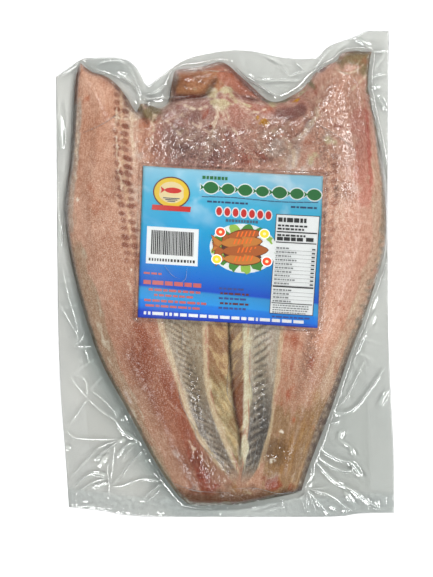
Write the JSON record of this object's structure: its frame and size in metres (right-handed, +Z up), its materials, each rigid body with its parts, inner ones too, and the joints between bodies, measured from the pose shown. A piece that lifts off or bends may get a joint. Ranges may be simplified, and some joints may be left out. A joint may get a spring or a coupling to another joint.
{
  "type": "vacuum-packed salted fish",
  "caption": "Headless salted mudfish, split and opened flat, sealed in a clear vacuum bag with a printed paper label under the film.",
  "frame": {"origin": "middle of the bag's plan, on the surface it lies on", "axes": "+Z up from the surface, +Y towards the fish's head end, +X to the right seen from above"},
  "size_m": [0.248, 0.3565, 0.0212],
  "materials": {
    "film": "clear vacuum film, glossy, wrinkled",
    "label_paper": "coated paper, printed, under film",
    "label_ink": "printed fields on coated paper",
    "fish_flesh": "moist salted flesh, satin"
  },
  "bodies": {
    "root": {"vacuum_bag": "film", "label": "label_paper"}
  },
  "joints": []
}
